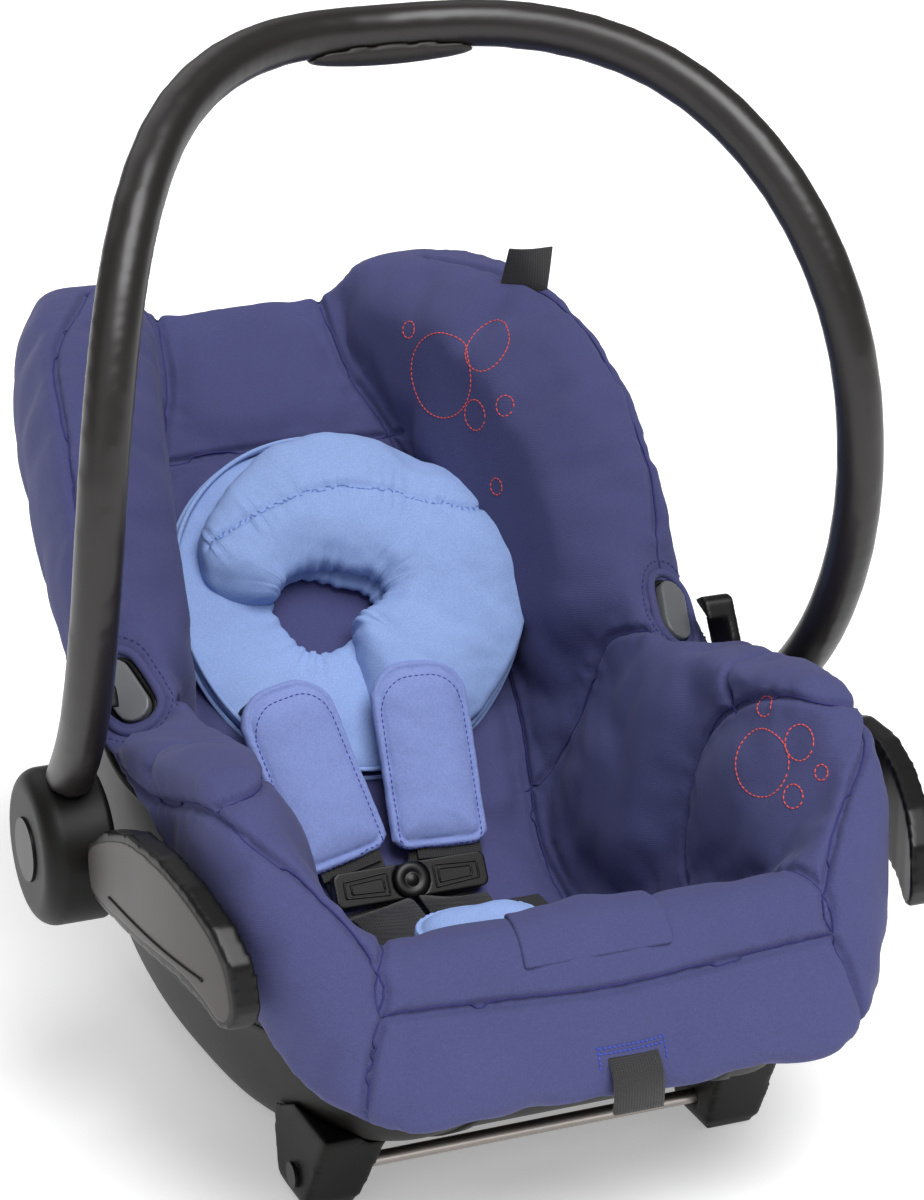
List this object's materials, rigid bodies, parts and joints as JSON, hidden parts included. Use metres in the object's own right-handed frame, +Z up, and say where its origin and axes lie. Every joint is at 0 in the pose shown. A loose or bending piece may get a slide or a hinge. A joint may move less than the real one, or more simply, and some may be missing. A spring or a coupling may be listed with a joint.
{
  "type": "infant car seat",
  "caption": "Infant carrier car seat: rocker shell with padded cover, head pillow, harness with chest clip, belt guides and a carry handle that folds back.",
  "frame": {"origin": "middle of the bounding box at the floor", "axes": "+Z up, -Y towards the foot end, +Y towards the head end, +X the child's left"},
  "size_m": [0.465, 0.6019, 0.5814],
  "materials": {
    "shell_plastic": "semi-gloss moulded charcoal",
    "handle_plastic": "satin warm grey-black",
    "grip_rubber": "matt soft grip",
    "guide_plastic": "satin grey-brown",
    "trim_plastic": "black moulded",
    "button_plastic": "satin mid grey",
    "red_plastic": "moulded red",
    "rod_steel": "drawn steel",
    "spring_steel": "plain steel",
    "foam": "expanded foam",
    "cover_fabric": "padded knit, violet-blue",
    "pillow_fabric": "padded knit, light blue",
    "pad_fabric": "padded knit, periwinkle",
    "webbing": "black polyester webbing"
  },
  "bodies": {
    "seat": {"shell": "shell_plastic", "foot_left": "shell_plastic", "foot_right": "shell_plastic", "docking_rod": "rod_steel", "rod_end_caps": "trim_plastic", "foam_liner": "foam", "seat_cover": "cover_fabric", "wing_tag": "webbing", "adjuster_flap": "cover_fabric", "button_housing_left": "trim_plastic", "button_housing_right": "trim_plastic", "release_spring_left": "spring_steel", "release_spring_right": "spring_steel", "belt_hook_left": "trim_plastic", "belt_hook_right": "trim_plastic", "belt_guide_left": "guide_plastic", "belt_guide_right": "guide_plastic", "pivot_pin_left": "spring_steel", "pivot_pin_right": "spring_steel", "pillow_back": "pillow_fabric", "pillow_roll": "pillow_fabric", "harness_pad_left": "pad_fabric", "harness_pad_right": "pad_fabric", "shoulder_strap_left": "webbing", "shoulder_strap_right": "webbing", "splitter_plate": "spring_steel", "hip_strap_left": "webbing", "hip_strap_right": "webbing", "crotch_strap": "webbing", "crotch_pad": "pillow_fabric", "buckle_housing": "trim_plastic", "buckle_spring": "spring_steel", "buckle_tongue_left": "spring_steel", "buckle_tongue_right": "spring_steel", "chest_clip_left": "trim_plastic", "chest_clip_right": "trim_plastic", "adjuster_housing": "trim_plastic", "adjuster_spring": "spring_steel", "adjuster_strap": "webbing"},
    "handle": {"handle_tube": "handle_plastic", "handle_grip": "grip_rubber", "hub_left": "handle_plastic", "hub_right": "handle_plastic", "hub_spring_left": "spring_steel", "hub_spring_right": "spring_steel"},
    "hub_button_left": {"hub_button_left": "trim_plastic"},
    "hub_button_right": {"hub_button_right": "trim_plastic"},
    "release_button_left": {"release_button_left": "button_plastic"},
    "release_button_right": {"release_button_right": "button_plastic"},
    "chest_clip_button": {"chest_clip_button": "trim_plastic"},
    "buckle_button": {"buckle_button": "red_plastic"},
    "adjuster_button": {"adjuster_button": "button_plastic"}
  },
  "joints": [
    {"name": "handle_fold", "type": "hinge", "parent": "seat", "child": "handle", "pos_m": [0, -0.037, 0.165], "axis": [1, 0, 0], "range_deg": [-100, 0]},
    {"name": "hub_button_left_press", "type": "slide", "parent": "handle", "child": "hub_button_left", "axis": [-1, 0, 0], "range_m": [0, 0.003], "stiffness_N_per_m": 1000, "springref_m": -0.002},
    {"name": "hub_button_right_press", "type": "slide", "parent": "handle", "child": "hub_button_right", "axis": [1, 0, 0], "range_m": [0, 0.003], "stiffness_N_per_m": 1000, "springref_m": -0.002},
    {"name": "release_button_left_press", "type": "slide", "parent": "seat", "child": "release_button_left", "axis": [-0.4777, 0.5693, -0.6691], "range_m": [0, 0.005], "stiffness_N_per_m": 1000, "springref_m": -0.002},
    {"name": "release_button_right_press", "type": "slide", "parent": "seat", "child": "release_button_right", "axis": [0.4777, 0.5693, -0.6691], "range_m": [0, 0.005], "stiffness_N_per_m": 1000, "springref_m": -0.002},
    {"name": "chest_clip_press", "type": "slide", "parent": "seat", "child": "chest_clip_button", "axis": [0, 0.8572, -0.515], "range_m": [0, 0.0025], "stiffness_N_per_m": 1000, "springref_m": -0.002},
    {"name": "buckle_press", "type": "slide", "parent": "seat", "child": "buckle_button", "axis": [0, 0, -1], "range_m": [0, 0.0035], "stiffness_N_per_m": 1000, "springref_m": -0.002, "deforming": ["buckle_spring"]},
    {"name": "adjuster_press", "type": "slide", "parent": "seat", "child": "adjuster_button", "axis": [0, 0, -1], "range_m": [0, 0.006], "stiffness_N_per_m": 1000, "springref_m": -0.002, "deforming": ["adjuster_spring"]}
  ]
}
